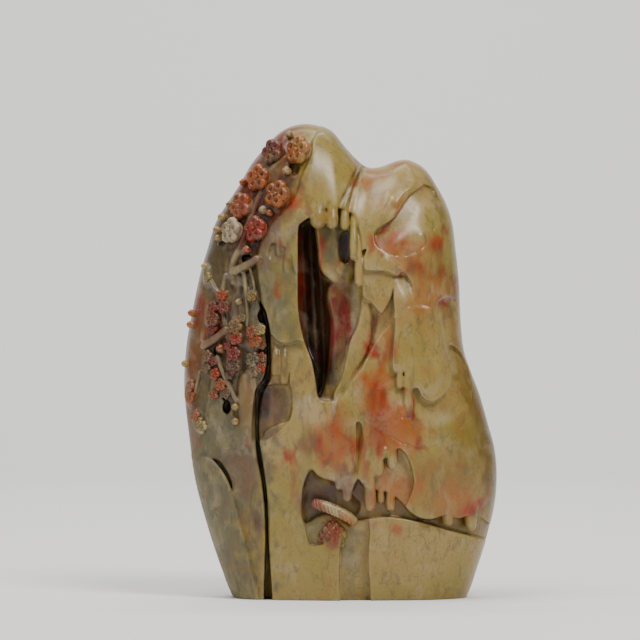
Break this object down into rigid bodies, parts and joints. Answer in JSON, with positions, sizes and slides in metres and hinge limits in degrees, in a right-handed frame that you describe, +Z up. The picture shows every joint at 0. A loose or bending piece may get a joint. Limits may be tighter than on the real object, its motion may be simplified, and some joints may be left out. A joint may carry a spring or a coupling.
{
  "type": "soapstone landscape carving",
  "caption": "Polished soapstone boulder carved as a twin-peaked mountain with hanging ledges, a deep gorge, a cave and a flowering plum tree, standing on its flat underside",
  "frame": {"origin": "middle of the flat underside's footprint box, on the surface that the carving stands on", "axes": "+Z up the carving, -Y out of the carved face, +X to the viewer's right"},
  "size_m": [0.2006, 0.0968, 0.3015],
  "materials": {
    "soapstone": "polished soapstone, pale celadon and cream with iron-red stains, veins and a soft wax gloss"
  },
  "bodies": {
    "root": {"carved_mountain": "soapstone"}
  },
  "joints": []
}
